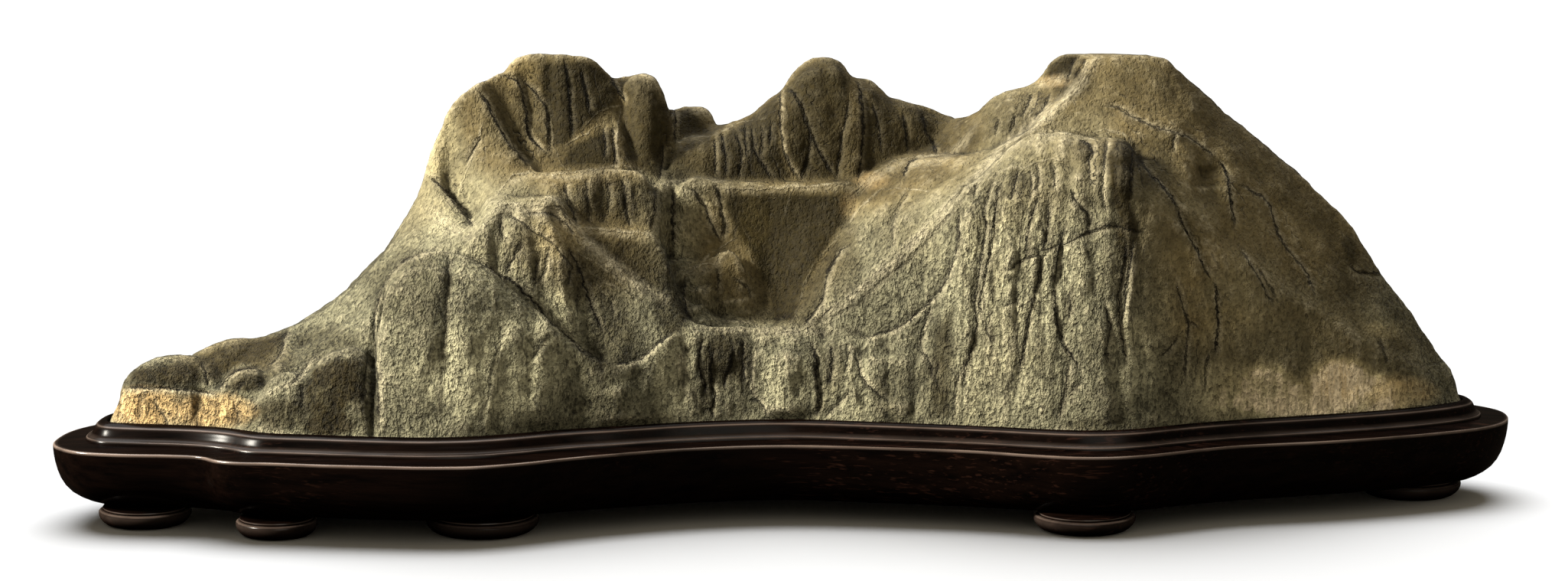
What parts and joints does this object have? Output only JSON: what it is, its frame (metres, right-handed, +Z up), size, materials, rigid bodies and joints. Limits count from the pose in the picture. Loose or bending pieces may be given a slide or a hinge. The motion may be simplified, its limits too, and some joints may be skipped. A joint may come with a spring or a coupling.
{
  "type": "suiseki",
  "caption": "Mountain-landscape viewing stone with peaks round a basin, resting in a carved dark wooden tray stand on low round feet.",
  "frame": {"origin": "middle of the object's box, on the plane that the feet stand on", "axes": "+X along the stone towards its right end as seen from the front, +Y away from the viewer, +Z up"},
  "size_m": [0.4483, 0.1527, 0.139],
  "materials": {
    "stone": "rough weathered olive-grey rock with tan stains",
    "stand_wood": "dark carved hardwood with a satin lacquer"
  },
  "bodies": {
    "root": {"stone": "stone", "stand": "stand_wood", "foot_front_left": "stand_wood", "foot_front_shoulder": "stand_wood", "foot_front_dome": "stand_wood", "foot_front_right": "stand_wood", "foot_right_end": "stand_wood", "foot_back_right": "stand_wood", "foot_back_middle": "stand_wood", "foot_back_left": "stand_wood"}
  },
  "joints": []
}
